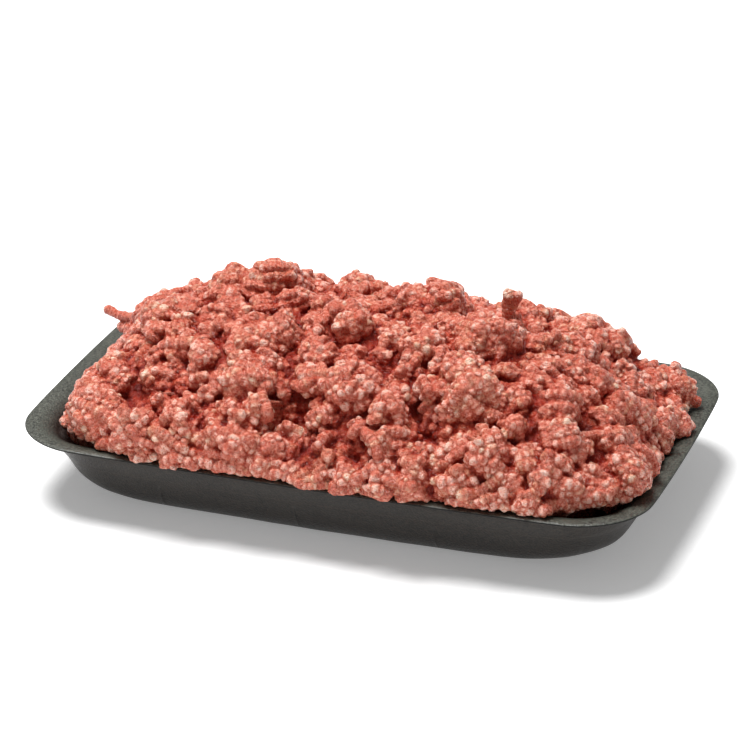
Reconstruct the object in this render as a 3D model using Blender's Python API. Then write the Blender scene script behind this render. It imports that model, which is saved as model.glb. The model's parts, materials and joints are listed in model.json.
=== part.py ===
"""A black foam tray heaped with raw minced meat.

Metres, +Z up. The origin is the middle of the tray's underside, and +X runs along the tray.
"""

import math

import bmesh
import bpy
from mathutils import Vector, noise

# Tray
LENGTH = 0.2250
WIDTH = 0.1394
HEIGHT = 0.0258
END_BOW = 0.0017
SIDE_BOW = 0.0019
FOAM = 0.0033
FLOOR_INSET = 0.0233
FILLET = 0.0120
DRAFT = math.radians(14.6)
LEDGE_HEIGHT = 0.0150
LEDGE = 0.0007
LIP = 0.0022
LIP_EDGE = 0.0012
LIP_INSET = 0.0080
LIP_ROUND = 0.0030
FLOOR_CORNER = 0.0370
LIP_CORNER_OUTSIDE = 0.0247
LIP_CORNER_INSIDE = 0.0225
CORNER_STEPS = 8
END_STEPS = 5
SIDE_STEPS = 8
FILLET_STEPS = 5

# Meat
GAP = 0.0003
BRIM = 0.0020
CLEAR_ABOVE = 0.0950
HEAP_MIDDLE = (0.0020, -0.0035)
HEAP_HALF_LENGTH = 0.1055
HEAP_HALF_WIDTH = 0.0697
HEAP_FOOT = 0.0140
HEAP_RISE = 0.0494
END_POWER = 5.0
SIDE_POWER = 3.2
SHOULDER_POWER = 0.75
HEAP_GRID = 0.0030
CLUMP_GRAIN = 0.0060
CLUMP_UNEVEN = 0.16
VOXEL = 0.0018
SMOOTHINGS = 2
MEAT_TRIANGLES = 5400

# The larger clumps: x, y, radius and how far each stands out of the heap, in millimetres.
CLUMPS = (
    (-86, -46, 14, 5.0), (-64, -60, 11, 5.0), (-74, -14, 15, 4.5), (-58, 12, 14, 4.5),
    (-41, 13, 14, 6.0), (-8, 14, 9, 2.5), (20, 14, 17, 5.5), (42, 20, 6, 5.5),
    (60, 4, 13, 2.5), (76, 8, 12, 3.5), (90, 17, 11, 1.5), (96, 38, 11, 4.0),
    (-31, -30, 16, 3.5), (-31, -46, 11, 4.0), (6, -45, 13, 4.5), (45, -38, 11, 5.0),
    (23, -54, 10, 4.0), (-2, -63, 11, 4.5), (61, -59, 13, 4.0), (45, -11, 17, 3.5),
    (-28, -60, 12, 4.0), (98, -36, 11, 4.5), (94, -8, 11, 3.5), (93, -27, 10, 3.5),
    (79, -40, 11, 4.0), (-61, -27, 14, 3.5), (-3, -14, 10, 4.5), (-46, -61, 11, 4.0),
    (25, -22, 13, 3.5), (81, -53, 11, 4.0), (34, -62, 9, 4.0), (-87, 6, 14, 5.0),
    (-80, 40, 14, 4.5), (-48, 46, 15, 4.5), (-16, 42, 16, 4.0), (14, 48, 14, 4.5),
    (44, 42, 17, 4.5), (74, 44, 14, 4.0), (-62, 60, 11, 3.5), (-30, 61, 12, 4.0),
    (2, 62, 11, 3.5), (32, 62, 12, 4.0), (60, 61, 11, 4.0), (-98, -18, 10, 3.5),
    (-99, 28, 11, 3.5), (104, 14, 9, 3.0), (-96, 10, 8, 4.0), (-30, 2, 10, 3.0),
)

# The larger hollows between them: x, y, radius and depth, in millimetres.
HOLLOWS = (
    (-56, -47, 9, 4.5), (-72, -50, 9, 4.5), (-47, -53, 7, 3.0), (-5, -27, 7, 3.0),
    (5, 0, 8, 2.5), (16, -35, 9, 3.5), (-10, -58, 15, 7.0), (35, -50, 11, 4.5),
    (86, -31, 9, 3.5), (74, 2, 8, 3.0), (43, -61, 8, 3.0), (-74, 28, 11, 4.0),
    (-36, 28, 12, 3.5), (28, 32, 12, 3.5), (-17, 15, 11, 4.5), (-69, 16, 10, 4.0),
    (57, 20, 13, 4.5), (89, 28, 14, 5.0),
)


def clear_scene():
    for item in list(bpy.data.objects):
        bpy.data.objects.remove(item, do_unlink=True)


def material(name, colour, roughness):
    made = bpy.data.materials.new(name)
    made.use_nodes = True
    shader = made.node_tree.nodes["Principled BSDF"]
    shader.inputs["Base Color"].default_value = (*colour, 1.0)
    shader.inputs["Roughness"].default_value = roughness
    shader.inputs["Metallic"].default_value = 0.0
    return made


def foam_material():
    return material("black foam", (0.045, 0.046, 0.040), 0.75)


def meat_material():
    return material("raw mince", (0.52, 0.17, 0.14), 0.45)


def outline(inset, corner):
    """A rounded rectangle this far inside the rim, whose four sides bow outwards a little."""
    half_x = LENGTH / 2 - END_BOW - inset
    half_y = WIDTH / 2 - SIDE_BOW - inset
    flat_x = half_x - corner
    flat_y = half_y - corner
    points = []
    for quarter in range(4):
        sign_x = (1, -1, -1, 1)[quarter]
        sign_y = (1, 1, -1, -1)[quarter]
        for step in range(CORNER_STEPS + 1):
            angle = math.pi / 2 * (quarter + step / CORNER_STEPS)
            x = sign_x * flat_x + corner * math.cos(angle)
            y = sign_y * flat_y + corner * math.sin(angle)
            points.append((x, y))
        along_side = quarter % 2 == 0
        steps = SIDE_STEPS if along_side else END_STEPS
        for step in range(1, steps):
            travel = 1 - 2 * step / steps
            if along_side:
                points.append((sign_x * flat_x * travel, sign_y * half_y))
            else:
                points.append((sign_x * half_x, sign_y * flat_y * travel))
    bowed = []
    for x, y in points:
        out_x = END_BOW * (1 - (y / half_y) ** 2) * x / half_x
        out_y = SIDE_BOW * (1 - (x / half_x) ** 2) * y / half_y
        bowed.append((x + out_x, y + out_y))
    return bowed


def fillet_path(radius, from_floor):
    """The turn from the floor up into the side wall, as inset and height, about one shared centre."""
    turn = math.pi / 2 - DRAFT
    path = []
    for step in range(FILLET_STEPS + 1):
        angle = turn * step / FILLET_STEPS
        inset = FLOOR_INSET - radius * math.sin(angle)
        path.append((inset, FILLET - radius * math.cos(angle)))
    return path if from_floor else path[::-1]


def wall_inset(radius, height):
    """How far in the side wall stands at this height, on the face that the fillet of this radius meets."""
    foot_inset = FLOOR_INSET - radius * math.cos(DRAFT)
    foot_height = FILLET - radius * math.sin(DRAFT)
    return foot_inset - (height - foot_height) * math.tan(DRAFT)


def outer_path():
    """Underside, side wall with its ledge, and the lip round to its top."""
    path = fillet_path(FILLET, True)
    ledge_inset = wall_inset(FILLET, LEDGE_HEIGHT)
    lip_height = HEIGHT - LIP
    path.append((ledge_inset, LEDGE_HEIGHT - LEDGE / 2))
    path.append((ledge_inset - LEDGE, LEDGE_HEIGHT + LEDGE / 2))
    path.append((wall_inset(FILLET, lip_height) - LEDGE, lip_height))
    path.append((LIP_EDGE / 3, HEIGHT - LIP_EDGE))
    path.append((0.0, HEIGHT - LIP_EDGE / 2))
    path.append((LIP_EDGE / 4, HEIGHT - LIP_EDGE / 8))
    path.append((LIP_EDGE, HEIGHT))
    return path


def inner_path(gap):
    """The lip's top, its rounded inner edge, the wall and the floor, moved this far off the foam."""
    radius = FILLET - FOAM - gap
    bend = LIP_ROUND + gap
    bend_height = HEIGHT - LIP_ROUND
    bend_inset = wall_inset(FILLET - FOAM, bend_height) - LIP_ROUND / math.cos(DRAFT)
    path = []
    for degrees in (90, 60, 30, 0):
        angle = math.radians(degrees)
        path.append((bend_inset + bend * math.cos(angle), bend_height + bend * math.sin(angle)))
    return path + fillet_path(radius, False)


def corner_outside(inset):
    lip_inset = wall_inset(FILLET, HEIGHT - LIP) - LEDGE
    grown = LIP_CORNER_OUTSIDE - inset / 2
    if inset <= lip_inset:
        return grown
    share = (inset - lip_inset) / (FLOOR_INSET - lip_inset)
    start = LIP_CORNER_OUTSIDE - lip_inset / 2
    return start + (FLOOR_CORNER - start) * share


def corner_inside(inset):
    share = (inset - LIP_INSET) / (FLOOR_INSET - LIP_INSET)
    return LIP_CORNER_INSIDE + (FLOOR_CORNER - LIP_CORNER_INSIDE) * max(share, 0.0)


def ring(mesh, inset, corner, height):
    return [mesh.verts.new((x, y, height)) for x, y in outline(inset, corner)]


def loft(rings_of, name):
    """Joins rings of equal count into one closed body, capped at its first and last ring."""
    mesh = bmesh.new()
    rings = [ring(mesh, *values) for values in rings_of]
    for low, high in zip(rings, rings[1:]):
        for i in range(len(low)):
            j = (i + 1) % len(low)
            mesh.faces.new((low[i], low[j], high[j], high[i]))
    mesh.faces.new(rings[0][::-1])
    mesh.faces.new(rings[-1])
    bmesh.ops.triangulate(mesh, faces=[face for face in mesh.faces if len(face.verts) > 4])
    bmesh.ops.recalc_face_normals(mesh, faces=mesh.faces)
    return place(mesh, name)


def place(mesh, name):
    data = bpy.data.meshes.new(name)
    mesh.to_mesh(data)
    mesh.free()
    made = bpy.data.objects.new(name, data)
    bpy.context.scene.collection.objects.link(made)
    return made


def tray():
    rings = [(inset, corner_outside(inset), height) for inset, height in outer_path()]
    rings += [(inset, corner_inside(inset), height) for inset, height in inner_path(0.0)]
    made = loft(rings, "foam_tray")
    made.data.shade_smooth()
    made.data.set_sharp_from_angle(angle=math.radians(50))
    made.data.materials.append(foam_material())
    return made


def room_in_tray():
    """The space that the meat may fill: inside the tray, out over its lip, and clear above."""
    inside = inner_path(GAP)[::-1]
    rings = [(inset, corner_inside(inset), height) for inset, height in inside]
    brim_height = HEIGHT + GAP
    rings.append((BRIM, LIP_CORNER_OUTSIDE - BRIM / 2, brim_height))
    rings.append((BRIM, LIP_CORNER_OUTSIDE - BRIM / 2, CLEAR_ABOVE))
    made = loft(rings, "room in tray")
    made.hide_render = True
    made.display_type = "WIRE"
    return made


def heap_height(x, y):
    """The smooth mound under the clumps: full in the middle, steep at its ends."""
    across = abs((x - HEAP_MIDDLE[0]) / HEAP_HALF_LENGTH) ** END_POWER
    deep = abs((y - HEAP_MIDDLE[1]) / HEAP_HALF_WIDTH) ** SIDE_POWER
    return HEAP_FOOT + HEAP_RISE * max(1 - across - deep, 0.0) ** SHOULDER_POWER


def heap_point(x, y):
    return Vector((x, y, heap_height(x, y)))


def heap_normal(x, y):
    step = HEAP_GRID / 4
    along_x = heap_point(x + step, y) - heap_point(x - step, y)
    along_y = heap_point(x, y + step) - heap_point(x, y - step)
    return along_x.cross(along_y).normalized()


def add_mound(mesh):
    """A block as large as the tray, with the mound as its top."""
    columns = round(LENGTH / HEAP_GRID)
    rows = round(WIDTH / HEAP_GRID)
    bmesh.ops.create_grid(mesh, x_segments=columns, y_segments=rows, size=0.5)
    for vert in mesh.verts:
        x = vert.co.x * LENGTH
        y = vert.co.y * WIDTH
        vert.co = heap_point(x, y)
    rim = [edge for edge in mesh.edges if edge.is_boundary]
    skirt = bmesh.ops.extrude_edge_only(mesh, edges=rim)["geom"]
    for vert in [item for item in skirt if isinstance(item, bmesh.types.BMVert)]:
        vert.co.z = -FOAM
    open_edges = [edge for edge in mesh.edges if edge.is_boundary]
    bmesh.ops.edgeloop_fill(mesh, edges=open_edges)
    bmesh.ops.recalc_face_normals(mesh, faces=mesh.faces)


def add_clump(mesh, x, y, radius, proud):
    """An uneven ball sunk in the mound until only its proud part stands out."""
    centre = heap_point(x, y) - heap_normal(x, y) * (radius - proud)
    for vert in bmesh.ops.create_icosphere(mesh, subdivisions=4, radius=radius)["verts"]:
        uneven = noise.noise((vert.co + centre) / CLUMP_GRAIN)
        vert.co = centre + vert.co * (1 + CLUMP_UNEVEN * uneven)


def press_hollows(mesh):
    """Pushes the surface in at each hollow, most at its middle."""
    for vert in mesh.verts:
        if vert.co.z < HEIGHT:
            continue
        push = Vector()
        for x, y, radius, depth in HOLLOWS:
            spot = heap_point(x / 1000, y / 1000)
            far = (vert.co - spot).length / (radius / 1000)
            if far < 1:
                push -= heap_normal(x / 1000, y / 1000) * depth / 1000 * (1 - far * far) ** 2
        vert.co += push


def modified(made, kind, **settings):
    modifier = made.modifiers.new(kind.title(), kind)
    for key, value in settings.items():
        setattr(modifier, key, value)
    graph = bpy.context.evaluated_depsgraph_get()
    return bpy.data.meshes.new_from_object(made.evaluated_get(graph))


def mince():
    """The mound, its clumps and hollows made one skin, thinned, and cut to the room in the tray."""
    mesh = bmesh.new()
    add_mound(mesh)
    for x, y, radius, proud in CLUMPS:
        add_clump(mesh, x / 1000, y / 1000, radius / 1000, proud / 1000)
    rough = place(mesh, "rough mince")
    skin = modified(rough, "REMESH", mode="VOXEL", voxel_size=VOXEL)
    bpy.data.objects.remove(rough, do_unlink=True)
    mesh = bmesh.new()
    mesh.from_mesh(skin)
    press_hollows(mesh)
    for _ in range(SMOOTHINGS):
        bmesh.ops.smooth_vert(
            mesh,
            verts=mesh.verts,
            factor=0.5,
            use_axis_x=True,
            use_axis_y=True,
            use_axis_z=True,
        )
    made = place(mesh, "mince")
    made.data.materials.append(meat_material())
    thin = made.modifiers.new("Thin", "DECIMATE")
    thin.ratio = MEAT_TRIANGLES / (2 * len(made.data.polygons))
    cut = made.modifiers.new("Fit the tray", "BOOLEAN")
    cut.operation = "INTERSECT"
    cut.solver = "EXACT"
    cut.object = room_in_tray()
    return made


clear_scene()
tray()
mince()
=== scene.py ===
"""A black foam tray heaped with raw minced meat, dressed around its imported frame."""

import json
import math

import bmesh
import bpy
import numpy as np
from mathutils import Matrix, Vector, noise
from mathutils.bvhtree import BVHTree
from mathutils.kdtree import KDTree

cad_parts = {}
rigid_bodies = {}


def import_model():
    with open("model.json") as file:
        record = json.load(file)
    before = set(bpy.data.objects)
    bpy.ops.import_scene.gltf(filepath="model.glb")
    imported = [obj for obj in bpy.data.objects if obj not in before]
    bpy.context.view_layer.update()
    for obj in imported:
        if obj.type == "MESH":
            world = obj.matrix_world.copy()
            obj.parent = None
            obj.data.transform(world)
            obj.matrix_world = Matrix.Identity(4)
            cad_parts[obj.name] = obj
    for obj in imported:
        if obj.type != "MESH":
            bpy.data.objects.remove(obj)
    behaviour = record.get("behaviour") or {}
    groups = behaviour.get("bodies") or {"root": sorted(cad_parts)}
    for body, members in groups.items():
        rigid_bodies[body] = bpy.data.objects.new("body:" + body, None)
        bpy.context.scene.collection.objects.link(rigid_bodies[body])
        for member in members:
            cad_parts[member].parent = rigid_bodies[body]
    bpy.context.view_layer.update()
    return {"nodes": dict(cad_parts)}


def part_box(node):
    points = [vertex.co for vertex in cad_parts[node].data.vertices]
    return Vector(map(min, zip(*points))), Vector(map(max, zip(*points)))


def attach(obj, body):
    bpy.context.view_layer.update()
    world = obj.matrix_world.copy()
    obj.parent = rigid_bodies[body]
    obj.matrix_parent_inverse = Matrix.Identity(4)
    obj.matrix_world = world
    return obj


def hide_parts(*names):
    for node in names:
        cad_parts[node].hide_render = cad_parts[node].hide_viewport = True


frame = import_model()
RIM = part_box("foam_tray")[1].z
MM = 0.001

# Camera: azimuth and elevation in degrees, and where it looks
CAMERA_AZIMUTH = 18.78
CAMERA_ELEVATION = 24.17
CAMERA_DISTANCE = 1.3148
CAMERA_LENS = 177.8
CAMERA_TARGET = Vector((-0.0080, 0.0247, 0.0254))
SENSOR_WIDTH = 36

# The soft light over the object: place, disk size and power; then the world and the floor
KEY_PLACE = (-0.35, 0.1, 1.3)
KEY_SIZE = 0.8
KEY_POWER = 29.5
KEY_AIM = Vector((0, 0, 0.03))
WORLD_STRENGTH = 0.25
FLOOR_SIZE = 6
FLOOR_GREY = 0.9
FLOOR_ROUGHNESS = 0.8
FLOOR_GLOW = 0.25

SEED = 5


# Small tools for meshes

MERGE_DISTANCE = 0.00001


def deselect_all():
    for item in bpy.context.view_layer.objects:
        item.select_set(False)
    bpy.context.view_layer.objects.active = None


def activate(item):
    deselect_all()
    item.select_set(True)
    bpy.context.view_layer.objects.active = item


def add_object(name, data):
    made = bpy.data.objects.new(name, data)
    bpy.context.scene.collection.objects.link(made)
    return made


def apply_modifier(item, kind, **settings):
    activate(item)
    modifier = item.modifiers.new(kind.title(), kind)
    for key, value in settings.items():
        setattr(modifier, key, value)
    bpy.ops.object.modifier_apply(modifier=modifier.name)


def points_of(item):
    points = np.empty(len(item.data.vertices) * 3, np.float32)
    item.data.vertices.foreach_get("co", points)
    return points.reshape(-1, 3)


def set_points(item, points):
    item.data.vertices.foreach_set("co", np.asarray(points, np.float32).ravel())
    item.data.update()


def normals_of(item):
    normals = np.empty(len(item.data.vertices) * 3, np.float32)
    item.data.vertices.foreach_get("normal", normals)
    return normals.reshape(-1, 3)


def triangles_of(item):
    item.data.calc_loop_triangles()
    index = np.empty(len(item.data.loop_triangles) * 3, np.int32)
    item.data.loop_triangles.foreach_get("vertices", index)
    return index.reshape(-1, 3)


def edges_of(item):
    edges = np.empty(len(item.data.edges) * 2, np.int32)
    item.data.edges.foreach_get("vertices", edges)
    return edges.reshape(-1, 2)


def ramp(values, start, length):
    """0 up to start, then rising to 1 over this length."""
    return np.clip((values - start) / length, 0, 1)


def mesh_from_arrays(name, points, triangles):
    data = bpy.data.meshes.new(name)
    data.vertices.add(len(points))
    data.vertices.foreach_set("co", np.asarray(points, np.float32).ravel())
    data.loops.add(len(triangles) * 3)
    data.loops.foreach_set("vertex_index", np.asarray(triangles, np.int32).ravel())
    data.polygons.add(len(triangles))
    data.polygons.foreach_set("loop_start", np.arange(0, len(triangles) * 3, 3, dtype=np.int32))
    data.update(calc_edges=True)
    return data


def cad_copy(node, name):
    """A copy of a CAD node with its loose triangles merged."""
    made = add_object(name, frame["nodes"][node].data.copy())
    activate(made)
    bpy.ops.object.mode_set(mode="EDIT")
    bpy.ops.mesh.select_all(action="SELECT")
    bpy.ops.mesh.remove_doubles(threshold=MERGE_DISTANCE)
    bpy.ops.object.mode_set(mode="OBJECT")
    return made


def surface_tree(item):
    graph = bpy.context.evaluated_depsgraph_get()
    return BVHTree.FromObject(item, graph)


# The heap's form

# Lumps that stand out of the heap: x, y, z, radius and rise, in millimetres
KNOTS = (
    (-82, -55, 38, 10, 2.5), (-68, -64, 31, 5, 2.0), (-61, -65, 39, 5, 2.0), (-54, -65, 34, 5, 2.0),
    (-71, -21, 60, 8, 1.5), (-56, 5, 64, 7, 2.0), (-39, 7, 67, 8, 2.5), (-8, 11, 64, 6, 2.5),
    (8, 13, 65, 6, 1.5), (24, 9, 67, 6, 1.5), (54, 23, 57, 7, 2.0), (76, 4, 58, 7, 1.5),
    (91, 15, 47, 7, 1.5), (101, 35, 29, 6, 2.0), (-36, -36, 62, 8, 1.5), (-21, -31, 62, 8, 1.5),
    (-28, -52, 54, 8, 2.0), (8, -52, 54, 10, 2.5), (47, -45, 58, 11, 3.5), (24, -60, 43, 9, 2.5),
    (35, -67, 32, 8, 2.0), (0, -68, 29, 8, 2.5), (65, -64, 34, 9, 2.0), (49, -18, 65, 13, 1.5),
    (65, -2, 61, 8, 1.5), (-25, -65, 35, 9, 2.5), (-21, -56, 46, 7, 2.0), (102, -40, 30, 9, 2.5),
    (95, -33, 41, 7, 2.0), (83, -47, 47, 8, 2.0), (72, -56, 43, 6, 1.5), (-47, -41, 57, 6, 1.5),
    (-2, -20, 65, 6, 3.0), (-46, -67, 31, 7, 2.0), (-8, -45, 56, 6, 2.0), (26, -24, 66, 8, 1.5),
    (85, -57, 32, 8, 2.0), (45, -60, 38, 6, 1.5), (-84, -36, 46, 7, 1.5), (57, -62, 45, 6, 1.5),
    (13, -68, 28, 5, 2.0), (102, -24, 30, 5, 2.0), (83, -9, 53, 6, 2.0), (14, -21, 63, 5, 2.0),
)

# Hollows between them: x, y, z, radius and depth, in millimetres
HOLLOWS = (
    (-56, -49, 48, 7, 6.0), (-68, -59, 43, 7, 6.0), (-44, -62, 45, 5, 4.5), (-5, -25, 60, 5, 5.0),
    (4, 2, 62, 5, 3.0), (17, -34, 58, 6, 4.5), (-6, -64, 40, 9, 9.0), (-1, -68, 36, 7, 7.0),
    (-14, -55, 40, 6, 5.0), (35, -52, 48, 9, 6.0), (25, -67, 32, 5, 5.0), (44, -67, 30, 5, 5.0),
    (64, -44, 54, 4, 4.0), (75, 1, 55, 4, 3.0), (86, -31, 46, 6, 4.5), (92, -38, 41, 5, 4.0),
    (103, -9, 29, 4, 4.0), (14, -64, 37, 5, 5.0), (-3, -51, 50, 4, 3.5), (-32, -63, 44, 4, 3.5),
    (66, -61, 42, 4, 3.0), (32, -38, 59, 4, 3.0), (-68, -40, 54, 3, 2.5),
)

# Where the heap lies lower than its CAD form: x, y, radius and drop, in millimetres
SETTLED = (
    (54, 20, 20, 7.5), (35, 18, 14, 4.0), (-26, 18, 14, 4.0), (-12, 18, 16, 6.0), (-71, 12, 11, 3.5),
    (-96, 10, 9, 0.5), (86, 12, 18, 6.5), (104, 20, 13, 4.0), (67, 14, 9, -1.5), (47, 44, 15, 5.0),
    (71, 49, 13, 6.0), (-20, 38, 17, 4.0),
)

# Where the heap's end leans in: y of its middle, half its width, how far it leans, in millimetres
LEAN_LEFT = (-25, 18, 3.0)

# How far the heap's foot lies out over the rim: where along X or Y this starts, its length, and how far
SPREAD_RIGHT = (0.088, 0.014, 0.0035)
SPREAD_LEFT = (0.085, 0.014, 0.0012)
SPREAD_FRONT = (0.048, 0.010, 0.0022)
SPREAD_CORNER = 0.0045
SPREAD_CORNER_START = 0.070
SPREAD_CORNER_LENGTH = 0.020
SPREAD_MIDDLE = 0.030
SPREAD_END = 0.015
SPREAD_RISE = 0.001
SPREAD_TOP = 0.010
SPREAD_FADE = 0.012
LEAN_START = 0.084
LEAN_LENGTH = 0.014
LEAN_FOOT = 0.001
LEAN_RISE = 0.008

# Voxel sizes of the form before and after its lumps, and how it is smoothed
FORM_VOXEL = 0.0016
FORM_SMOOTHING = 6
KNOT_VOXEL = 0.0009

# How far the form moves in to make room for its lumps, the share of that at its foot, and where the foot ends
FORM_SINK = 0.0046
FOOT_SINK = 0.15
FOOT_HEIGHT = 0.004
FOOT_FADE = 0.010
INSIDE_START = 0.001
INSIDE_FADE = 0.003
RIM_GAP = 0.0003
SETTLE_HEIGHT = 0.02

# Hollows: how ragged they are, how fine the ragging is, and the share of their depth that is pressed in
HOLLOW_RAGGED = 0.45
HOLLOW_REACH = 1.5
HOLLOW_WAVE = 160
HOLLOW_SHARE = 0.75

# Kinds of lump: tries, smallest and largest radius, least and most rise
LUMP_KINDS = (
    (400, 0.0065, 0.0085, -0.0010, 0.0010),
    (1500, 0.0048, 0.0065, -0.0022, 0.0010),
    (4000, 0.0034, 0.0048, -0.0030, 0.0008),
    (5000, 0.0025, 0.0034, -0.0035, 0.0004),
)
LUMP_OVERLAP = 0.78
LUMP_FOOT = 0.003
LUMP_SHAPES = 16
LUMP_UNEVEN = 0.45
LUMP_STRETCH = (0.85, 1.15)
KNOT_SINK = 0.0004

# Kinds of strand: tries, thinnest and thickest radius, lengths in beads, how deep and how close they lie
FLOW_KIND = (1400, 0.0014, 0.0019, (6, 8, 11, 14), 0.22, 0.74)
STRAND_KINDS = (
    (2600, 0.0015, 0.0020, (3, 4, 6, 8), 0.28, 0.75),
    (36000, 0.0011, 0.0020, (1, 1, 1, 2, 2, 3), 0.32, 0.78),
    (24000, 0.0006, 0.0011, (1, 1, 2), 0.10, 0.78),
)

# Where long strands lie side by side: x, y, z and radius in millimetres, and the way they run
FLOWS = (
    (-80, -6, 52, 24, (0.85, 0.30, 0.45)), (-46, 2, 66, 20, (0.95, 0.30, 0.0)),
    (92, -16, 45, 22, (0.66, 0.23, -0.70)), (66, -28, 58, 13, (0.8, -0.2, -0.4)),
)

# Strands that stand clear of the heap: radius, then the points they pass, in millimetres
STRAYS = (
    (1.7, ((-86, 6, 43.5), (-93, 9, 42.5), (-98, 12, 41.2), (-102, 14, 40.4), (-106, 16, 41))),
    (2.3, ((-94, 9, 38.5), (-99, 12, 37))),
    (2.5, ((42, 20, 54), (42, 20, 60), (42, 20, 65))),
    (2.0, ((43, 20, 62), (45, 20.5, 65.3))),
)

# A strand: the step between its beads in radii, the cell of the grid that finds near ones, how its thickness
# varies and how it waves, and how far a bead and its neighbour in another strand may share room
BEAD_STEP = 0.85
STRAY_STEP = 0.6
BEAD_LENGTH = (1.0, 1.3)
BEAD_WIDTH = (0.85, 1.12)
BEAD_CELL = 0.0055
BEAD_UNEVEN = 0.22
BEAD_UNEVEN_SCALE = 620
BEAD_WAVE = 0.12
BEAD_WAVE_SCALE = 900
BEAD_ROOM = 1.15
STRAY_UNEVEN = 0.18
STRAY_UNEVEN_SCALE = 500
STEADY = 0.6
CROWDING = 0.92
TURN = 0.18
FOOT_MARGIN = 0.3

# The way strands run: two sizes of swirl, and how strongly a patch of long strands sets it
SWIRL = 38
FINE_SWIRL = 95
FLOW_PULL = 3
FLOW_EDGE = 1.2
FLOW_TRIES = 8

# Strands start no deeper under the rim than this, and not in valleys deeper than this many millimetres
STRAND_FOOT = 0.006
DIP_LIMIT = 0.28
VALLEY_ROUNDS = 16

# Where granules have run together: how large such patches are, how marked, and how deep strands sink in them
PASTE_SCALE = 52
PASTE_GAIN = 2.2
PASTE = 0.7
PASTE_SINK = 0.6
DEPTH_SPREAD = 0.3

# The merged skin: how far the form sinks under its strands, its voxels and triangles
SKIN_SINK = 0.0001
SKIN_VOXEL = 0.00032
SKIN_TRIANGLES = 880000
SKIN_SMOOTHING = 2
SKIN_DEPTH = 0.007
CRUMBS = ((0.0026, 0.0006), (0.0010, 0.0004))
LIP_REACH = 0.0012
ABOVE_ALL = 0.1

# The middles of the skin's pieces, in millimetres, and how high the points that close them lie
CHUNKS = ((-75, 0), (-40, 0), (0, 0), (41, 0), (81, 0))
CHUNK_APEX = 25
CORE_APEX = 12

# Shapes of the beads: how many, how uneven, and how broad and fine their dents are
NUGGET_SHAPES = 32
NUGGET_UNEVEN = 0.42
SMOOTH_SHAPES = 8
SMOOTH_UNEVEN = 0.20
LONG_STRAND = 3
NUGGET_STEPS = (7.3, 3.1, 5.7)
BROAD_DENTS = 0.9
FINE_DENTS = 2.1

# What is painted on the skin: beads that meet closer than this are a crease painted in shade, and how depth,
# painted as shade, is counted
NEAR_BEADS = 4
SHADED_CREASE = 0.0009
DEPTH_SHADE_GAIN = 0.12
VALLEY_SHADE_GAIN = 1.3
COLOUR_ROUNDS = 2
CAVITY_ROUNDS = 6

# The looks of beads: how fat strands are and how often, and how often a single bead is all fat
STRAND_FAT = (0.0, 0.15, 0.35)
STRAND_FAT_ODDS = (0.5, 0.3, 0.2)
ALL_FAT = 0.85
ALL_FAT_ODDS = (0.10, 0.20)
SMALL_BEAD = 0.0013
FAT_SPREAD = 0.08
TONE_PATCH = 70
FAT_PATCH = 45

# The tray's lip: how deep its outer edge lies, and the roll of its inner edge, which fades out down the wall
LIP_EDGE_DEPTH = 0.0006
LIP_EDGE_REACH = 0.0003
ROLL_START = 0.0020
ROLL_REACH = 0.0095
ROLL_RADIUS = 0.0135
ROLL_DEPTH = 0.012
ROLL_FADE = 0.006
QUAD_ANGLE = math.radians(70)
STEEP = 0.7

# What is painted on the tray: painted shade on its outer edge from here down to here under the rim, and the
# painted shade that darkens its inside
SHADED_EDGE_TOP = 0.0005
SHADED_EDGE_FOOT = 0.0021
SHADED_EDGE_FADE = 0.0003
INSIDE_SHADE_START = 0.0005
INSIDE_SHADE_LENGTH = 0.0028

# The tray's foot: how far it waves, how fine the waves are, and how far up the wall they reach
FOOT_WAVE = 0.0006
FOOT_WAVE_SCALE = 34
FOOT_WAVE_START = 0.001
FOOT_WAVE_REACH = 0.012


def ball_arrays(levels):
    mesh = bmesh.new()
    bmesh.ops.create_icosphere(mesh, subdivisions=levels, radius=1.0)
    points = np.array([vert.co for vert in mesh.verts])
    triangles = np.array([[vert.index for vert in face.verts] for face in mesh.faces])
    mesh.free()
    return points, triangles


def many_balls(name, centres, axes, shapes, pick, triangles):
    """One mesh of closed lumps: axes holds each one's half axes as rows, pick says which shape it has."""
    points = np.einsum("npk,nkj->npj", shapes[pick], axes) + centres[:, None]
    offsets = np.arange(len(centres))[:, None, None] * shapes.shape[1]
    return mesh_from_arrays(name, points.reshape(-1, 3), (triangles[None] + offsets).reshape(-1, 3))


def nugget_shapes(count, levels, uneven):
    """Balls pressed out of shape in different ways, about one unit in radius."""
    ball, triangles = ball_arrays(levels)
    shapes = np.empty((count, len(ball), 3))
    for k in range(count):
        offset = Vector([k * step for step in NUGGET_STEPS])
        for i, point in enumerate(ball):
            place = Vector(point)
            push = noise.noise(place * BROAD_DENTS + offset) + 0.5 * noise.noise(place * FINE_DENTS + offset)
            shapes[k, i] = point * (1 + uneven * push)
    return shapes, triangles


def random_rotations(rng, count):
    q = rng.normal(size=(count, 4))
    q /= np.linalg.norm(q, axis=1, keepdims=True)
    w, x, y, z = q.T
    return np.stack([
        np.stack([1 - 2 * (y * y + z * z), 2 * (x * y - z * w), 2 * (x * z + y * w)], -1),
        np.stack([2 * (x * y + z * w), 1 - 2 * (x * x + z * z), 2 * (y * z - x * w)], -1),
        np.stack([2 * (x * z - y * w), 2 * (y * z + x * w), 1 - 2 * (x * x + y * y)], -1),
    ], 1)


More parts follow.
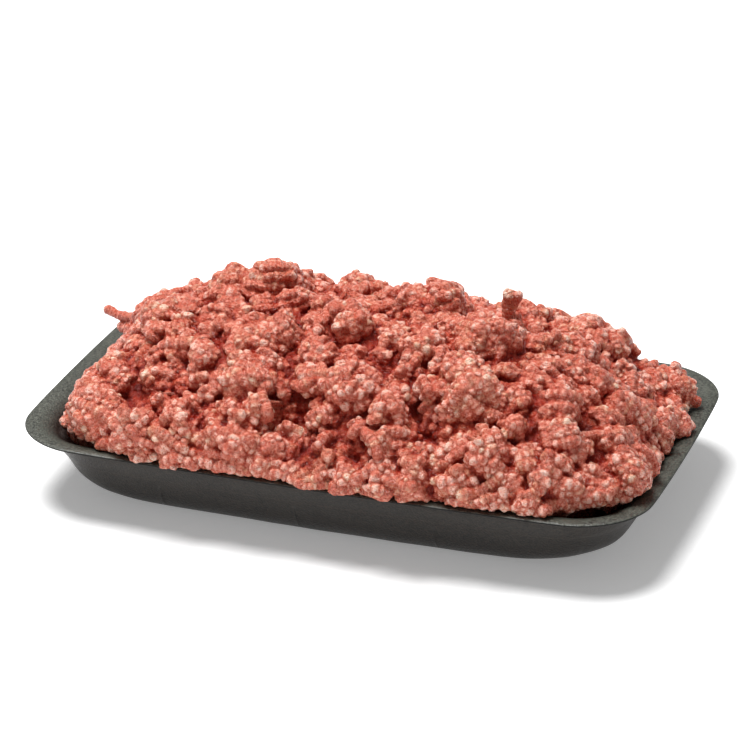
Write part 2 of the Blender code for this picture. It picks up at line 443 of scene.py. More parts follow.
def surface_samples(item, count, rng):
    """Random points spread evenly over a mesh of triangles, with the normals there."""
    corners = points_of(item)[triangles_of(item)]
    cross = np.cross(corners[:, 1] - corners[:, 0], corners[:, 2] - corners[:, 0])
    area = np.linalg.norm(cross, axis=1)
    pick = rng.choice(len(corners), count, p=area / area.sum())
    u = rng.random((count, 2))
    flip = u.sum(1) > 1
    u[flip] = 1 - u[flip]
    chosen = corners[pick]
    spots = chosen[:, 0] + u[:, :1] * (chosen[:, 1] - chosen[:, 0]) + u[:, 1:] * (chosen[:, 2] - chosen[:, 0])
    return spots, cross[pick] / area[pick, None]


def settle(form):
    """Lowers the heap where it has settled, all of it above the rim."""
    points = points_of(form).astype(float)
    above = ramp(points[:, 2], RIM, SETTLE_HEIGHT)
    for x, y, radius, drop in SETTLED:
        far = np.linalg.norm(points[:, :2] - np.array((x, y)) * MM, axis=1) / (radius * MM)
        points[:, 2] -= np.clip(1 - far ** 2, 0, 1) * above * drop * MM
    set_points(form, points)


def spread(form):
    """Lets the heap's foot lie further out over the rim, and its left end lean in."""
    points = points_of(form).astype(float)
    heights = points[:, 2] - RIM
    foot = ramp(heights, -SPREAD_RISE, SPREAD_RISE) * (1 - ramp(heights, SPREAD_TOP, SPREAD_FADE))
    start, length, far = SPREAD_RIGHT
    points[:, 0] += foot * ramp(points[:, 0], start, length) * far
    start, length, far = SPREAD_LEFT
    points[:, 0] -= foot * ramp(-points[:, 0], start, length) * far
    start, length, far = SPREAD_FRONT
    corners = ramp(np.abs(points[:, 0]), SPREAD_CORNER_START, SPREAD_CORNER_LENGTH) * SPREAD_CORNER
    points[:, 1] -= foot * ramp(-points[:, 1], start, length) * far
    middle = foot * ramp(-points[:, 1], 0.0, SPREAD_MIDDLE) * (1 - ramp(-points[:, 1], start, SPREAD_END))
    points[:, 1] -= middle * corners
    y, half, far = LEAN_LEFT
    share = np.clip(1 - ((points[:, 1] / MM - y) / half) ** 2, 0, 1) * ramp(heights, LEAN_FOOT, LEAN_RISE)
    points[:, 0] += share * ramp(-points[:, 0], LEAN_START, LEAN_LENGTH) * far * MM
    set_points(form, points)


def sink_form(form):
    """Moves the form in by the room that its lumps need, and by less at its foot on the rim."""
    heights = points_of(form)[:, 2] - RIM
    up = ramp(heights, FOOT_HEIGHT, FOOT_FADE)
    down = ramp(-heights, INSIDE_START, INSIDE_FADE)
    group = form.vertex_groups.new(name="sink")
    for i, share in enumerate(FOOT_SINK + (1 - FOOT_SINK) * np.maximum(up, down)):
        group.add([i], float(share), "REPLACE")
    apply_modifier(form, "DISPLACE", strength=-FORM_SINK, mid_level=0.0, vertex_group=group.name)


def press_hollows(form, base):
    """Pushes the skin in at each hollow, along the heap's own slope there."""
    points = points_of(form).astype(float)
    for x, y, z, radius, depth in HOLLOWS:
        spot, normal, _, _ = base.find_nearest(Vector((x, y, z)) * MM)
        away = points - np.array(spot)
        far = np.linalg.norm(away, axis=1) / (radius * MM)
        near = np.flatnonzero(far < HOLLOW_REACH)
        wave = np.array([noise.noise(Vector(points[i]) * HOLLOW_WAVE) for i in near])
        share = np.clip(1 - (far[near] * (1 + HOLLOW_RAGGED * wave)) ** 2, 0, 1)
        points[near] -= np.outer(share, np.array(normal)) * depth * HOLLOW_SHARE * MM
    set_points(form, points)


def knot_places(base, form, rng):
    """Where the lumps sit, how large they are and how far they rise: the listed ones, then random ones."""
    places = []
    for x, y, z, radius, rise in KNOTS:
        spot, normal, _, _ = base.find_nearest(Vector((x, y, z)) * MM)
        places.append((np.array(spot), np.array(normal), radius * MM, rise * MM - KNOT_SINK))
    for count, low, high, least, most in LUMP_KINDS:
        spots, normals = surface_samples(form, count, rng)
        taken = np.array([place[0] for place in places])
        sizes = np.array([place[2] for place in places])
        for spot, normal in zip(spots, normals):
            radius = rng.uniform(low, high)
            if spot[2] < RIM - LUMP_FOOT:
                continue
            if (np.linalg.norm(taken - spot, axis=1) < LUMP_OVERLAP * (sizes + radius)).any():
                continue
            places.append((spot, normal, radius, rng.uniform(least, most)))
            taken = np.vstack([taken, spot])
            sizes = np.append(sizes, radius)
    return places


def heap_form(rng):
    """The heap's form under its strands: the CAD heap, a little smaller, with lumps and hollows."""
    form = cad_copy("mince", "heap form")
    apply_modifier(form, "REMESH", mode="VOXEL", voxel_size=FORM_VOXEL)
    apply_modifier(form, "SMOOTH", iterations=FORM_SMOOTHING, factor=0.5)
    settle(form)
    spread(form)
    base = surface_tree(form)
    places = knot_places(base, form, rng)
    radius = np.array([place[2] for place in places])
    centres = np.array([place[0] - place[1] * (place[2] - place[3]) for place in places])
    stretch = radius[:, None] * rng.uniform(*LUMP_STRETCH, (len(places), 3))
    axes = random_rotations(rng, len(places)) * stretch[:, None, :]
    shapes, triangles = nugget_shapes(LUMP_SHAPES, 4, LUMP_UNEVEN)
    pick = rng.integers(0, len(shapes), len(places))
    knots = add_object("knots", many_balls("knots", centres, axes, shapes, pick, triangles))
    sink_form(form)
    activate(form)
    knots.select_set(True)
    bpy.ops.object.join()
    apply_modifier(form, "REMESH", mode="VOXEL", voxel_size=KNOT_VOXEL)
    press_hollows(form, base)
    apply_modifier(form, "SMOOTH", iterations=1, factor=0.5)
    return form, base


# Strands

class Beads:
    """The beads laid so far, held in a grid of cells so that near ones are found quickly."""

    def __init__(self, cell):
        self.cell = cell
        self.cells = {}
        self.spots = []
        self.sizes = []
        self.ways = []
        self.strand = []

    def near(self, spot, size, share, skip):
        """Whether a bead of another strand reaches into this one by more than the share allows."""
        kx, ky, kz = (int(value // self.cell) for value in spot)
        for x in (kx - 1, kx, kx + 1):
            for y in (ky - 1, ky, ky + 1):
                for z in (kz - 1, kz, kz + 1):
                    for bead in self.cells.get((x, y, z), ()):
                        if self.strand[bead] == skip:
                            continue
                        if (self.spots[bead] - spot).length < share * (self.sizes[bead] + size):
                            return True
        return False

    def add(self, spot, size, way, strand):
        key = tuple(int(value // self.cell) for value in spot)
        self.cells.setdefault(key, []).append(len(self.spots))
        self.spots.append(spot)
        self.sizes.append(size)
        self.ways.append(way)
        self.strand.append(strand)


def flow_direction(spot, normal, turn):
    """The way the strands run at a spot, along the surface."""
    field = noise.noise_vector(spot * SWIRL) + 0.5 * noise.noise_vector(spot * FINE_SWIRL + Vector((9, 4, 2)))
    field += turn
    for x, y, z, radius, way in FLOWS:
        far = (spot - Vector((x, y, z)) * MM).length / (radius * MM)
        field += Vector(way) * (FLOW_PULL * max(FLOW_EDGE - far, 0))
    along = field - normal * field.dot(normal)
    if along.length < 1e-4:
        along = normal.orthogonal()
    return along.normalized()


def kept_inside(heap, spot, size):
    """The spot, moved in at the heap's foot so that a ball of this size there stays inside the CAD heap."""
    if spot.z > RIM + FOOT_MARGIN * size:
        return spot
    hit, normal, _, _ = heap.find_nearest(spot)
    short = size - (hit - spot).dot(normal)
    return spot - normal * max(short, 0)


def lay_strand(beads, tree, heap, start, size, length, jitter, sink, share):
    """Lays one strand both ways from its start, until it is long enough or meets another."""
    strand = beads.strand[-1] + 1 if beads.strand else 0
    laid = 0
    for way in (1, -1):
        here = start.copy()
        direction = None
        for step in range(length):
            hit, normal, _, _ = tree.find_nearest(here)
            flow = flow_direction(hit, normal, jitter) * way
            direction = flow if direction is None else (direction * STEADY + flow * (1 - STEADY)).normalized()
            wave = BEAD_WAVE * size * noise.noise(hit * BEAD_WAVE_SCALE)
            centre = kept_inside(heap, hit - normal * (sink * size + wave), size * BEAD_ROOM)
            if laid and beads.near(centre, size, share * CROWDING, strand):
                break
            if way == 1 or step > 0:
                uneven = noise.noise(hit * BEAD_UNEVEN_SCALE + jitter * 30)
                thick = size * (1 + BEAD_UNEVEN * uneven)
                beads.add(centre, thick, direction.copy(), strand)
                laid += 1
            here = centre + direction * size * BEAD_STEP


def valleys_of(form):
    """A function that says how far a spot on the form lies in a valley between lumps, in millimetres."""
    dips = cavity(form, edges_of(form), VALLEY_ROUNDS)
    corners = KDTree(len(dips))
    for i, point in enumerate(points_of(form)):
        corners.insert(point, i)
    corners.balance()
    return lambda spot: dips[corners.find(spot)[1]]


def in_flow(spot):
    return any((spot - Vector(flow[:3]) * MM).length < flow[3] * MM for flow in FLOWS)


def lay_strays(beads):
    """The strands that stand clear of the heap."""
    for radius, path in STRAYS:
        strand = beads.strand[-1] + 1 if beads.strand else 0
        for start, end in zip(path, path[1:]):
            start, end = Vector(start) * MM, Vector(end) * MM
            steps = max(round((end - start).length / (radius * MM * STRAY_STEP)), 1)
            for step in range(steps + (end == Vector(path[-1]) * MM)):
                spot = start.lerp(end, step / steps)
                thick = radius * MM * (1 + STRAY_UNEVEN * noise.noise(spot * STRAY_UNEVEN_SCALE))
                beads.add(spot, thick, (end - start).normalized(), strand)


def lay_strands(form, dip, rng):
    """Strands and granules over the whole heap, from the thickest to the finest."""
    tree = surface_tree(form)
    heap = surface_tree(frame["nodes"]["mince"])
    beads = Beads(BEAD_CELL)
    lay_strays(beads)
    for kind in (FLOW_KIND, *STRAND_KINDS):
        count, low, high, lengths, sink, share = kind
        flowing = kind is FLOW_KIND
        spots, normals = surface_samples(form, count * (FLOW_TRIES if flowing else 1), rng)
        for spot, normal in zip(spots, normals):
            spot, normal = Vector(spot), Vector(normal)
            if spot.z < RIM - STRAND_FOOT or dip(spot) > DIP_LIMIT:
                continue
            if flowing and not in_flow(spot):
                continue
            size = rng.uniform(low, high)
            paste = min(max(PASTE_GAIN * noise.noise(spot * PASTE_SCALE + Vector((5, 1, 8))), 0), 1)
            deeper = 0 if flowing else paste * PASTE * PASTE_SINK
            depth = sink + rng.uniform(-DEPTH_SPREAD, DEPTH_SPREAD) + deeper
            if beads.near(spot - normal * (depth * size), size, share, -1):
                continue
            jitter = Vector(rng.normal(0, TURN, 3))
            lay_strand(beads, tree, heap, spot, size, int(rng.choice(lengths)), jitter, depth, share)
    return beads


def bead_axes(beads, rng):
    """Each bead is a little longer along its strand than across it."""
    axes = np.empty((len(beads.spots), 3, 3))
    for i, (thick, direction) in enumerate(zip(beads.sizes, beads.ways)):
        angle = rng.uniform(0, math.tau)
        side = direction.orthogonal().normalized()
        side = (side * math.cos(angle) + direction.cross(side) * math.sin(angle)).normalized()
        axes[i, 0] = direction * thick * rng.uniform(*BEAD_LENGTH)
        axes[i, 1] = side * thick * rng.uniform(*BEAD_WIDTH)
        axes[i, 2] = direction.cross(side) * thick * rng.uniform(*BEAD_WIDTH)
    return axes


def smoothed(values, edges, rounds):
    """Values at the vertices, averaged along the edges this many times."""
    count = np.bincount(edges.ravel(), minlength=len(values)).astype(float)
    for _ in range(rounds):
        total = np.empty_like(values)
        for k in range(values.shape[1]):
            column = values[:, k]
            total[:, k] = np.bincount(edges[:, 0], column[edges[:, 1]], len(values))
            total[:, k] += np.bincount(edges[:, 1], column[edges[:, 0]], len(values))
        values = 0.5 * values + 0.5 * total / count[:, None]
    return values


def cavity(item, edges, rounds):
    """How far each vertex lies below its surroundings, in millimetres."""
    points = points_of(item).astype(float)
    normals = np.empty(len(points) * 3, np.float32)
    item.data.vertex_normals.foreach_get("vector", normals)
    around = smoothed(points, edges, rounds)
    return ((around - points) * normals.reshape(-1, 3)).sum(1) / MM


def paint(item, beads, looks, base, dip):
    """Each vertex's fat and tone, the painted shade of its crease and of its depth in the heap, and the bead
    nearest to it.
    """
    tree = KDTree(len(beads.spots))
    for i, spot in enumerate(beads.spots):
        tree.insert(spot, i)
    tree.balance()
    points = points_of(item)
    colours = np.ones((len(points), 4), np.float32)
    nearest = np.empty(len(points), int)
    for i, point in enumerate(points):
        place = Vector(point)
        found = tree.find_n(place, NEAR_BEADS)
        reach = sorted((far - beads.sizes[bead], bead) for _, bead, far in found)
        nearest[i] = reach[0][1]
        colours[i, :2] = looks[nearest[i]]
        colours[i, 2] = reach[1][0] - reach[0][0]
        hit, normal, _, _ = base.find_nearest(place)
        # Painted shade: the deeper under the heap's form and in its valleys, the darker the meat is painted
        colours[i, 3] = DEPTH_SHADE_GAIN * (hit - place).dot(normal) / MM + VALLEY_SHADE_GAIN * max(dip(place), 0)
    edges = edges_of(item)
    colours[:, :2] = smoothed(colours[:, :2].astype(float), edges, COLOUR_ROUNDS)
    # Painted shade where beads meet in a crease and in the skin's hollows
    colours[:, 2] = np.clip(1 - colours[:, 2] / SHADED_CREASE, 0, 1) * 0.5
    colours[:, 2] += np.clip(cavity(item, edges, CAVITY_ROUNDS), 0, 1) * 0.5
    colours[:, 3] = np.clip(colours[:, 3], 0, 1)
    return colours, nearest


def bead_looks(beads, rng):
    """Each bead's fat and tone: most of a strand's comes from the strand, the rest is the bead's own."""
    strands = beads.strand[-1] + 1
    strand_tone = rng.random(strands)
    strand_fat = rng.choice(STRAND_FAT, strands, p=STRAND_FAT_ODDS)
    looks = np.empty((len(beads.spots), 2))
    for i, strand in enumerate(beads.strand):
        patch = 0.5 + 0.5 * noise.noise(beads.spots[i] * TONE_PATCH)
        rich = 0.5 + noise.noise(beads.spots[i] * FAT_PATCH + Vector((3, 1, 7)))
        odds = ALL_FAT_ODDS[0 if beads.sizes[i] > SMALL_BEAD else 1]
        whole = ALL_FAT if rng.random() < odds * (0.4 + rich) else 0.0
        looks[i, 0] = max(strand_fat[strand] * (0.6 + rich), whole) + rng.normal(0, FAT_SPREAD)
        looks[i, 1] = 0.45 * strand_tone[strand] + 0.25 * rng.random() + 0.3 * patch
    return np.clip(looks, 0, 1)


def closed_chunk(name, points, triangles, colours, apex):
    """A piece of the skin, closed by a fan from its edge to a point inside the heap."""
    used, triangles = np.unique(triangles, return_inverse=True)
    triangles = triangles.reshape(-1, 3)
    ends = np.concatenate([triangles[:, [0, 1]], triangles[:, [1, 2]], triangles[:, [2, 0]]])
    code = ends[:, 0].astype(np.int64) * len(used) + ends[:, 1]
    back = ends[:, 1].astype(np.int64) * len(used) + ends[:, 0]
    rim = ends[~np.isin(code, back)]
    fan = np.column_stack([rim[:, 1], rim[:, 0], np.full(len(rim), len(used))])
    points = np.vstack([points[used], apex])
    colours = np.vstack([colours[used], colours[used].mean(0)])
    data = mesh_from_arrays(name, points, np.vstack([triangles, fan]))
    layer = data.color_attributes.new("meat", "FLOAT_COLOR", "POINT")
    layer.data.foreach_set("color", colours.astype(np.float32).ravel())
    data.shade_smooth()
    smooth = np.arange(len(triangles) + len(fan)) < len(triangles)
    data.polygons.foreach_set("use_smooth", smooth)
    return add_object(name, data)


def lift_onto_rim(skin):
    """Sets every point that sank into the rim, or hangs down outside it, on top of it."""
    tray = surface_tree(frame["nodes"]["foam_tray"])
    points = points_of(skin)
    low = RIM + RIM_GAP
    for i in np.flatnonzero(points[:, 2] < low):
        x, y, _ = points[i]
        hit, _, _, _ = tray.ray_cast(Vector((float(x), float(y), ABOVE_ALL)), Vector((0, 0, -1)))
        if hit is None or hit.z > RIM - LIP_REACH:
            points[i, 2] = low
    set_points(skin, points)


def bead_mesh(beads, rng):
    """Every bead as a closed nugget, smoother ones in the long strands."""
    shapes, triangles = nugget_shapes(NUGGET_SHAPES, 3, NUGGET_UNEVEN)
    smooth_shapes, _ = nugget_shapes(SMOOTH_SHAPES, 3, SMOOTH_UNEVEN)
    shapes = np.concatenate([shapes, smooth_shapes])
    pick = rng.integers(0, NUGGET_SHAPES, len(beads.spots))
    long = np.bincount(beads.strand)[beads.strand] > LONG_STRAND
    pick[long] = NUGGET_SHAPES + pick[long] % SMOOTH_SHAPES
    return many_balls("skin", np.array(beads.spots), bead_axes(beads, rng), shapes, pick, triangles)


def merged_skin(form, beads, rng):
    """The form and its strands as one crumbly skin, thinned to the triangles it may have."""
    skin = add_object("skin", bead_mesh(beads, rng))
    apply_modifier(form, "DISPLACE", strength=-SKIN_SINK, mid_level=0.0)
    activate(skin)
    form.select_set(True)
    bpy.ops.object.join()
    apply_modifier(skin, "REMESH", mode="VOXEL", voxel_size=SKIN_VOXEL)
    apply_modifier(skin, "SMOOTH", iterations=SKIN_SMOOTHING, factor=0.5)
    group = skin.vertex_groups.new(name="seen")
    group.add(np.flatnonzero(points_of(skin)[:, 2] > RIM - SKIN_DEPTH).tolist(), 1.0, "REPLACE")
    for size, strength in CRUMBS:
        crumb = bpy.data.textures.new("crumb", "CLOUDS")
        crumb.noise_scale = size
        settings = {"texture": crumb, "texture_coords": "LOCAL", "vertex_group": "seen"}
        apply_modifier(skin, "DISPLACE", strength=strength, mid_level=0.5, **settings)
    share = SKIN_TRIANGLES / (2 * len(skin.data.polygons))
    if share < 1:
        apply_modifier(skin, "DECIMATE", ratio=share)
    lift_onto_rim(skin)
    return skin


def mince_pieces():
    """The heap: its skin cut into closed pieces side by side, and the meat below the rim as a core."""
    rng = np.random.default_rng(SEED)
    form, base = heap_form(rng)
    dip = valleys_of(form)
    beads = lay_strands(form, dip, rng)
    skin = merged_skin(form, beads, rng)
    colours, nearest = paint(skin, beads, bead_looks(beads, rng), base, dip)
    points = points_of(skin)
    triangles = triangles_of(skin)
    away = np.array(beads.spots)[:, None, :2] - np.array(CHUNKS)[None] * MM
    chunk = np.linalg.norm(away, axis=2).argmin(1)[nearest]
    chunk[points[:, 2] < RIM - SKIN_DEPTH] = len(CHUNKS)
    chunk = chunk[triangles[:, 0]]
    pieces = []
    for i, (x, y) in enumerate(CHUNKS):
        apex = np.array([x, y, CHUNK_APEX]) * MM
        pieces.append(closed_chunk(f"mince_skin_{i + 1}", points, triangles[chunk == i], colours, apex))
    apex = np.array([0, 0, CORE_APEX]) * MM
    pieces.append(closed_chunk("mince_core", points, triangles[chunk == len(CHUNKS)], colours, apex))
    bpy.data.objects.remove(skin)
    return pieces


# The tray

def tray_insets(points, outward):
    """How far each point lies in from the lip's outer edge, seen from above."""
    edge = np.flatnonzero(outward & (np.abs(points[:, 2] - (RIM - LIP_EDGE_DEPTH)) < LIP_EDGE_REACH))
    tree = KDTree(len(edge))
    for i in edge:
        tree.insert(Vector((points[i, 0], points[i, 1], 0)), int(i))
    tree.balance()
    return np.array([tree.find(Vector((x, y, 0)))[2] for x, y, _ in points])


def tray_piece():
    """The foam tray: the CAD tray, its lip rolled in more roundly, its foot a little wavy."""
    made = cad_copy("foam_tray", "tray_foam")
    activate(made)
    bpy.ops.object.mode_set(mode="EDIT")
    bpy.ops.mesh.select_all(action="SELECT")
    bpy.ops.mesh.tris_convert_to_quads(face_threshold=QUAD_ANGLE, shape_threshold=QUAD_ANGLE)
    bpy.ops.object.mode_set(mode="OBJECT")
    apply_modifier(made, "SUBSURF", levels=2, render_levels=2)
    points = points_of(made).astype(float)
    normals = normals_of(made)
    turned = (normals[:, :2] * points[:, :2]).sum(1) > 0
    outward = turned & (np.abs(normals[:, 2]) < STEEP)
    inside = (normals[:, 2] > STEEP) | (~turned & (normals[:, 2] > -0.1))
    rolled = np.clip(tray_insets(points, outward) - ROLL_START, 0, ROLL_REACH)
    drop = ROLL_RADIUS - np.sqrt(ROLL_RADIUS ** 2 - rolled ** 2)
    points[:, 2] -= drop * inside * ramp(points[:, 2], RIM - ROLL_DEPTH, ROLL_FADE)
    heights = points[:, 2].copy()
    # Painted shade: the lip's outer edge, which the foam paints nearly black
    edge = outward * (1 - ramp(heights, RIM - SHADED_EDGE_TOP, SHADED_EDGE_FADE))
    edge = edge * ramp(heights, RIM - SHADED_EDGE_FOOT, SHADED_EDGE_FADE)
    # Painted shade: the inside of the tray, darker from just under the rim down
    painted_shade = inside * ramp(RIM - heights, INSIDE_SHADE_START, INSIDE_SHADE_LENGTH)
    # The faces painted as the lit top, lighter than the shaded walls
    top = inside | (heights > RIM - SHADED_EDGE_TOP)
    low = 1 - ramp(heights, FOOT_WAVE_START, FOOT_WAVE_REACH)
    places = points[:, :2] * FOOT_WAVE_SCALE
    wave = np.array([noise.noise(Vector((x, y, 2.0))) for x, y in places])
    points[:, 2] += FOOT_WAVE * low * (1 - wave) * np.clip(np.abs(wave), 0, 1)
    set_points(made, points)
    layer = made.data.color_attributes.new("foam", "FLOAT_COLOR", "POINT")
    colours = np.column_stack([edge, painted_shade, top, np.ones(len(points))])
    layer.data.foreach_set("color", colours.astype(np.float32).ravel())
    bpy.ops.object.shade_smooth()
    return made


# Materials

class Socket:
    """A shader value that Python's operators work on, adding the Math nodes as they go."""

    def __init__(self, nodes, socket):
        self.nodes = nodes
        self.socket = socket

    def math(self, operation, *others, clamp=False):
        settings = {"operation": operation, "use_clamp": clamp}
        return self.nodes.add("ShaderNodeMath", settings, self, *others)["Value"]

    def __add__(self, other):
        return self.math("ADD", other)

    __radd__ = __add__

    def __sub__(self, other):
        return self.math("SUBTRACT", other)

    def __rsub__(self, other):
        return self.nodes.add("ShaderNodeMath", {"operation": "SUBTRACT"}, other, self)["Value"]

    def __mul__(self, other):
        return self.math("MULTIPLY", other)

    __rmul__ = __mul__

    def __truediv__(self, other):
        return self.math("DIVIDE", other)

    def __rtruediv__(self, other):
        return self.nodes.add("ShaderNodeMath", {"operation": "DIVIDE"}, other, self)["Value"]

    def clamped(self):
        return self.math("ADD", 0.0, clamp=True)


class Shader:
    """A material with a Principled BSDF, and one method that adds any other node."""

    def __init__(self, name):
        self.material = bpy.data.materials.new(name)
        self.material.use_nodes = True
        self.tree = self.material.node_tree
        self.surface = self.tree.nodes["Principled BSDF"]

    def add(self, kind, settings=None, *values, **named):
        node = self.tree.nodes.new(kind)
        for key, value in (settings or {}).items():
            setattr(node, key, value)
        for index, value in enumerate(values):
            self.feed(node.inputs[index], value)
        for key, value in named.items():
            self.feed(node.inputs[key.replace("_", " ")], value)
        return {out.name: Socket(self, out) for out in node.outputs if out.enabled}

    def feed(self, socket, value):
        if isinstance(value, Socket):
            self.tree.links.new(value.socket, socket)
        else:
            socket.default_value = value

    def set(self, name, value):
        self.feed(self.surface.inputs[name], value)

    def mix(self, share, one, other, blend="MIX"):
        node = self.tree.nodes.new("ShaderNodeMix")
        node.data_type = "RGBA"
        node.blend_type = blend
        self.feed(node.inputs[0], share)
        for index, value in ((6, one), (7, other)):
            self.feed(node.inputs[index], value if isinstance(value, Socket) else (*value, 1.0))
        return Socket(self, node.outputs[2])

    def noise(self, scale, detail=3.0, roughness=0.55, distortion=0.0):
        place = self.add("ShaderNodeTexCoord")["Object"]
        made = self.add(
            "ShaderNodeTexNoise", None, Vector=place, Scale=scale, Detail=detail,
            Roughness=roughness, Distortion=distortion,
        )
        return made["Fac"]


# The meat's colours: two tones of lean, blood, fat and the wet glints as a painted highlight, and the colour
# that painted shade multiplies them by
LEAN_DARK = (0.93, 0.41, 0.32)
LEAN_PINK = (0.98, 0.57, 0.465)
BLOOD = (0.88, 0.32, 0.22)
FAT = (0.99, 0.74, 0.55)
PAINTED_GLINT = (1.0, 0.82, 0.73)
SHADE = (0.66, 0.32, 0.25)

# How fine the meat's patterns are, and above which value and how sharply blood, fat, the painted glint lines
# and specks and the pits of painted shade show
BLOTCH_SCALE = 330
BLOOD_SCALE = 130
LUMP_SCALE = 800
GRAIN_SCALE = 2200
GLINT_LINE_SCALE = 420
BLOOD_START = 0.58
BLOOD_GAIN = 9
BLOOD_SHARE = 0.45
FAT_START = 0.15
GLINT_LINE_WIDTH = 0.03
GLINT_LINE_GAIN = 30
GLINT_LINE_PATCH = 0.42
GLINT_LINE_PATCH_GAIN = 8
GLINT_SPECK_START = 0.56
GLINT_SPECK_GAIN = 9
PIT_GAIN = 5.0

# How strongly painted shade darkens the meat in creases, deep in the heap and in the pits of its bump
CREASE_SHADE = 2.3
DEPTH_START = 0.1
DEPTH_SHADE = 2.6
PIT_SHADE = 0.8

# How wet and how soft the meat is, and how high its grain stands
WETNESS = 0.10
LEAST_ROUGHNESS = 0.08
SPECULAR = 0.45
SOFTNESS = 0.2
SOFT_RADIUS = (1.0, 0.35, 0.25)
SOFT_SCALE = 0.0006
MEAT_BUMP = 0.0018
GRAIN_BUMP = 0.25


def meat_material():
    shader = Shader("raw mince")
    seen = shader.add("ShaderNodeVertexColor", {"layer_name": "meat"})
    parts = shader.add("ShaderNodeSeparateColor", None, seen["Color"])
    # The crease and depth channels are amounts of painted shade
    fat, tone, crease, depth = parts["Red"], parts["Green"], parts["Blue"], seen["Alpha"]
    blotch = shader.noise(BLOTCH_SCALE, detail=2)
    # Painted shade: creases pull the lean towards its darker tone
    pink = (tone * 0.7 + (blotch - 0.5) * 0.3 - crease * 0.6 + 0.35).clamped()
    lean = shader.mix(pink, LEAN_DARK, LEAN_PINK)
    blood = ((shader.noise(BLOOD_SCALE, detail=3) - BLOOD_START) * BLOOD_GAIN).clamped() * BLOOD_SHARE
    lean = shader.mix(blood, lean, BLOOD)
    colour = shader.mix(((fat - FAT_START) * 1.0 + (blotch - 0.5) * 0.4).clamped(), lean, FAT)
    lumps = shader.noise(LUMP_SCALE, detail=3, roughness=0.6)
    grain = shader.noise(GRAIN_SCALE, detail=2, roughness=0.6)
    # Painted highlights: thin glint lines in patches and glint specks, in the glint colour, kept out of
    # creases
    line = shader.noise(GLINT_LINE_SCALE, detail=3, roughness=0.7, distortion=0.4)
    glint_lines = ((GLINT_LINE_WIDTH - (line - 0.5).math("ABSOLUTE")) * GLINT_LINE_GAIN).clamped()
    glint_lines = glint_lines * ((blotch - GLINT_LINE_PATCH) * GLINT_LINE_PATCH_GAIN).clamped()
    glint_specks = ((grain - GLINT_SPECK_START) * GLINT_SPECK_GAIN).clamped()
    colour = shader.mix((glint_lines * 0.5 + glint_specks * 0.5).clamped() * (1 - crease).clamped(), colour, PAINTED_GLINT)
    # Painted shade in the low spots of the bump's lumps and grain
    shaded_pits = ((0.5 - lumps) * PIT_GAIN + (0.5 - grain) * PIT_GAIN).clamped()
    shade = crease * CREASE_SHADE + (depth - DEPTH_START).clamped() * DEPTH_SHADE + shaded_pits * PIT_SHADE
    # The painted shade: the colour multiplied by the shade colour raised to the amount of shade
    painted_shade = shader.add("ShaderNodeGamma", None, (*SHADE, 1.0), shade)["Color"]
    colour = shader.mix(1.0, colour, painted_shade, "MULTIPLY")
    shader.set("Base Color", colour)
    shader.set("Roughness", (WETNESS + (blotch - 0.5) * 0.4).clamped() + LEAST_ROUGHNESS)
    shader.set("Specular IOR Level", SPECULAR)
    shader.set("Subsurface Weight", SOFTNESS)
    shader.set("Subsurface Radius", SOFT_RADIUS)
    shader.set("Subsurface Scale", SOFT_SCALE)
    height = lumps + grain * GRAIN_BUMP
    bump = shader.add("ShaderNodeBump", None, Strength=1.0, Distance=MEAT_BUMP, Height=height)
    shader.set("Normal", bump["Normal"])
    return shader.material


# The foam's colours, lit and shaded copies of one foam: on the lip lighter with a painted sheen, down the
# wall outside darker with painted shade, and inside the tray darkest with painted shade tinted by the meat's
# red as a painted reflection
FOAM_LIT_LIP = (0.052, 0.055, 0.0436)
FOAM_SHADED_WALL = (0.0215, 0.0170, 0.0130)
FOAM_SHADED_INSIDE = (0.014, 0.007, 0.005)

# The foam's cells, speckle and clouds: how fine, and how high the first two stand
CELL_SCALE = 1500.0
SPECKLE_SCALE = 1500
CLOUD_SCALE = 70
CELL_HEIGHT = 0.00016
SPECKLE_HEIGHT = 0.00010

# A pale line along the wall, a painted highlight where a ledge catches the light, and how dark painted shade
# makes the wall's foot
LEDGE_HIGHLIGHT_HEIGHT = 0.0150
LEDGE_HIGHLIGHT_SHARPNESS = 2500
FOOT_SHADE = 0.66
FOOT_SHADE_GAIN = 15

# Ribs low on the walls: their spacing, one rib's place on each pair of sides, how far out the walls start,
# and the ribs' width, height and top end
RIB_SPACING = 0.049
SIDE_RIB = -0.0085
END_RIB = 0.0245
SIDE_WALL = 0.050
END_WALL = 0.090
RIB_WIDTH = 0.0014
RIB_HEIGHT = 0.0005
RIB_TOP = 0.013
RIB_SHARPNESS = 500


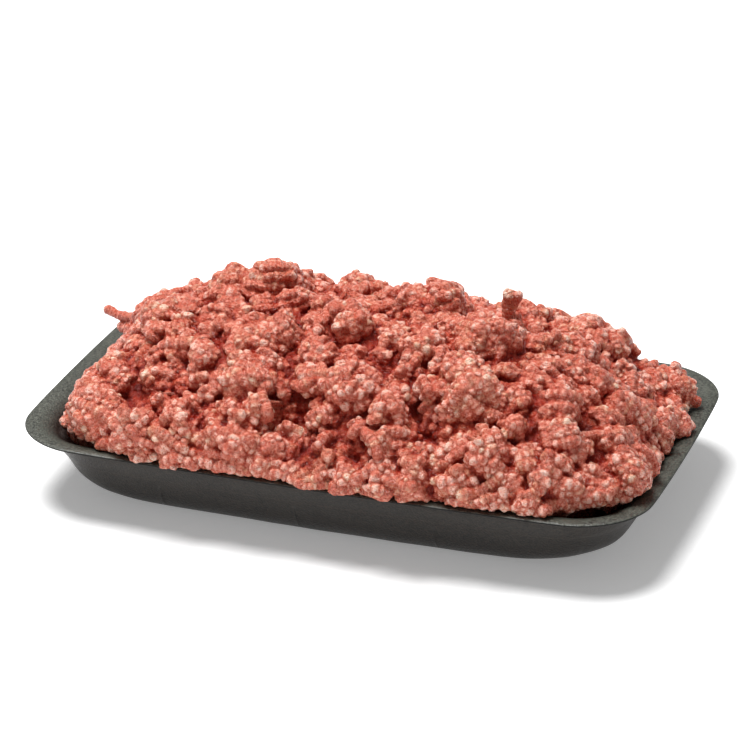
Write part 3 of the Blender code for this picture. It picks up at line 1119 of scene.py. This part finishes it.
def foam_material():
    shader = Shader("black foam")
    place = shader.add("ShaderNodeTexCoord")["Object"]
    parts = shader.add("ShaderNodeSeparateXYZ", None, place)
    x, y, z = parts["X"], parts["Y"], parts["Z"]
    painted = shader.add("ShaderNodeAttribute", {"attribute_name": "foam"})["Color"]
    shares = shader.add("ShaderNodeSeparateColor", None, painted)
    # From the foam attribute: the painted shade of the outer edge and of the inside, and the faces painted as
    # the lit top
    edge, painted_shade, top = shares["Red"], shares["Green"], shares["Blue"]
    cells = shader.add("ShaderNodeTexVoronoi", None, Vector=place, Scale=CELL_SCALE)["Distance"]
    speckle = shader.noise(SPECKLE_SCALE, detail=2, roughness=0.6)
    cloud = shader.noise(CLOUD_SCALE, detail=4)
    # Painted highlight: a pale line along the wall at the ledge, not on the lit top
    ledge_highlight = (1 - (z - LEDGE_HIGHLIGHT_HEIGHT).math("ABSOLUTE") * LEDGE_HIGHLIGHT_SHARPNESS).clamped() * (1 - top)
    tone = 0.5 + (speckle - 0.5) * 2.2 + (cloud - 0.5) * 0.35 + ledge_highlight * 0.3
    # Painted shade: the outer edge nearly black, and the wall darker towards its foot
    tone = tone * (1 - edge * 0.95) * (FOOT_SHADE + z * FOOT_SHADE_GAIN).math("MINIMUM", 1.0)
    # Lit and shaded copies of the foam: the top painted lighter than the walls
    foam = shader.mix(top, FOAM_SHADED_WALL, FOAM_LIT_LIP)
    # Painted shade, tinted by the meat's red as a painted reflection, on the tray's inside
    foam = shader.mix(painted_shade, foam, FOAM_SHADED_INSIDE)
    speckled = shader.mix(tone.clamped(), (0, 0, 0), (2, 2, 2))
    shader.set("Base Color", shader.mix(1, foam, speckled, "MULTIPLY"))
    shader.set("Roughness", (0.42 + (speckle - 0.5) * 0.5 + edge * 0.5).clamped())
    height = cells * CELL_HEIGHT + speckle * SPECKLE_HEIGHT
    for along, start, across, reach in ((x, SIDE_RIB, y, SIDE_WALL), (y, END_RIB, x, END_WALL)):
        turn = ((along - start) / RIB_SPACING + 0.5).math("FRACT") - 0.5
        rib = (1 - turn.math("ABSOLUTE") * (RIB_SPACING / RIB_WIDTH)).clamped()
        wall = ((across.math("ABSOLUTE") - reach) * RIB_SHARPNESS).clamped()
        wall = wall * ((RIB_TOP - z) * RIB_SHARPNESS).clamped()
        height = height + rib * rib * wall * RIB_HEIGHT
    bump = shader.add("ShaderNodeBump", None, Strength=1.0, Distance=1.0, Height=height)
    shader.set("Normal", bump["Normal"])
    return shader.material


# Camera, light and floor

def add_camera():
    data = bpy.data.cameras.new("camera")
    data.lens = CAMERA_LENS
    data.sensor_width = SENSOR_WIDTH
    item = add_object("camera", data)
    azimuth = math.radians(CAMERA_AZIMUTH)
    elevation = math.radians(CAMERA_ELEVATION)
    back = Vector((
        math.sin(azimuth) * math.cos(elevation),
        -math.cos(azimuth) * math.cos(elevation),
        math.sin(elevation),
    ))
    item.location = CAMERA_TARGET + back * CAMERA_DISTANCE
    item.rotation_euler = back.to_track_quat("Z", "Y").to_euler()
    bpy.context.scene.camera = item


def add_key():
    data = bpy.data.lights.new("key", "AREA")
    data.shape = "DISK"
    data.size = KEY_SIZE
    data.energy = KEY_POWER
    item = add_object("key", data)
    item.location = KEY_PLACE
    item.rotation_euler = (item.location - KEY_AIM).to_track_quat("Z", "Y").to_euler()


def add_floor():
    deselect_all()
    bpy.ops.mesh.primitive_plane_add(size=FLOOR_SIZE, location=(0, 0, 0))
    floor = bpy.context.object
    floor.name = "floor"
    shader = Shader("white floor")
    shader.set("Base Color", (FLOOR_GREY, FLOOR_GREY, FLOOR_GREY, 1))
    shader.set("Roughness", FLOOR_ROUGHNESS)
    shader.set("Emission Color", (1, 1, 1, 1))
    shader.set("Emission Strength", FLOOR_GLOW)
    floor.data.materials.append(shader.material)


def add_world():
    world = bpy.data.worlds.new("soft white")
    bpy.context.scene.world = world
    world.use_nodes = True
    world.node_tree.nodes["Background"].inputs["Color"].default_value = (1, 1, 1, 1)
    world.node_tree.nodes["Background"].inputs["Strength"].default_value = WORLD_STRENGTH


add_camera()
add_world()
add_floor()
add_key()
bpy.context.scene.view_settings.view_transform = "Standard"

meat = meat_material()
for piece in mince_pieces():
    piece.data.materials.clear()
    piece.data.materials.append(meat)
    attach(piece, "root")
    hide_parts("mince")

tray = tray_piece()
tray.data.materials.clear()
tray.data.materials.append(foam_material())
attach(tray, "root")
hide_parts("foam_tray")
